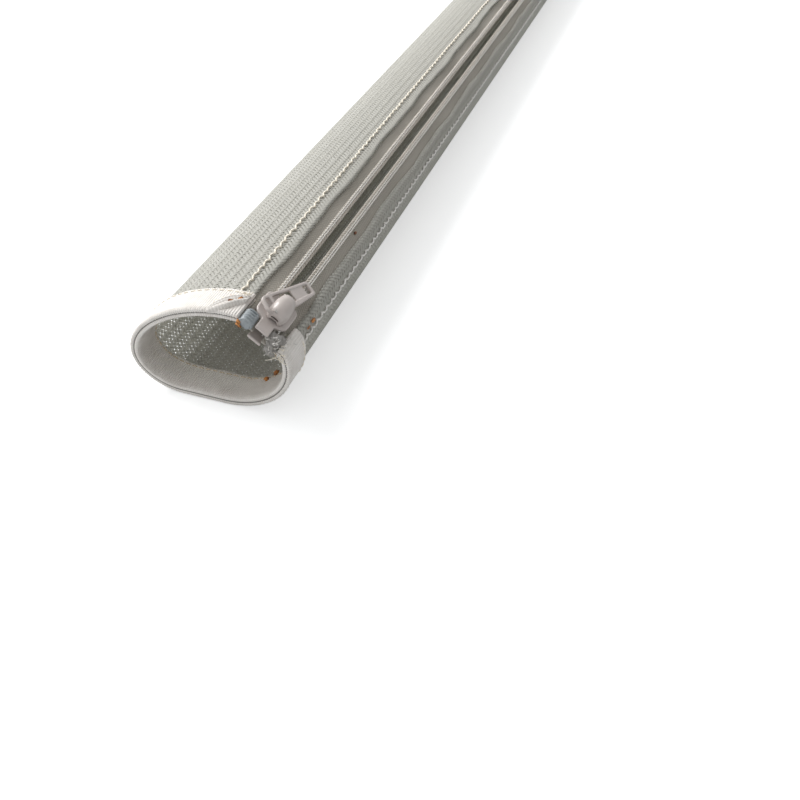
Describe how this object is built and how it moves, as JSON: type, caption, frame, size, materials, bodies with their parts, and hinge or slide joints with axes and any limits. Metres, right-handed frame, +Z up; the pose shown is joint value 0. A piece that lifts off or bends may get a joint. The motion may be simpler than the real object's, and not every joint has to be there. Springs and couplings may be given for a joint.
{
  "type": "zippered cable sleeve",
  "caption": "Woven mesh cable sleeve open along one side, with sewn-in coil zip, locking slider with pull tab and webbing-bound mouths.",
  "frame": {"origin": "middle of the bounding box, on the surface the sleeve lies on", "axes": "+Y along the sleeve from the front mouth, where the slider is parked, to the rear mouth; +Z up; +X to the side the zip leans to"},
  "size_m": [0.057, 0.5024, 0.0399],
  "materials": {
    "mesh": "woven",
    "webbing": "ribbed",
    "tape": "woven",
    "coil": "satin",
    "slider": "satin",
    "spring": "satin"
  },
  "bodies": {
    "sleeve": {"mesh_sleeve": "mesh", "front_binding": "webbing", "rear_binding": "webbing", "tape_left": "tape", "tape_right": "tape", "coil_left": "coil", "coil_right": "coil"},
    "slider": {"slider_body": "slider", "slider_cap": "slider", "lock_spring": "spring"},
    "pull": {"pull_tab": "slider"}
  },
  "joints": [
    {"name": "slider_slide", "type": "slide", "parent": "sleeve", "child": "slider", "axis": [0, 1, 0], "range_m": [0, 0.475]},
    {"name": "pull_hinge", "type": "hinge", "parent": "slider", "child": "pull", "pos_m": [0.02021, -0.23875, 0.03661], "axis": [0.7405, -0.342, -0.5785], "range_deg": [0, 15]}
  ]
}
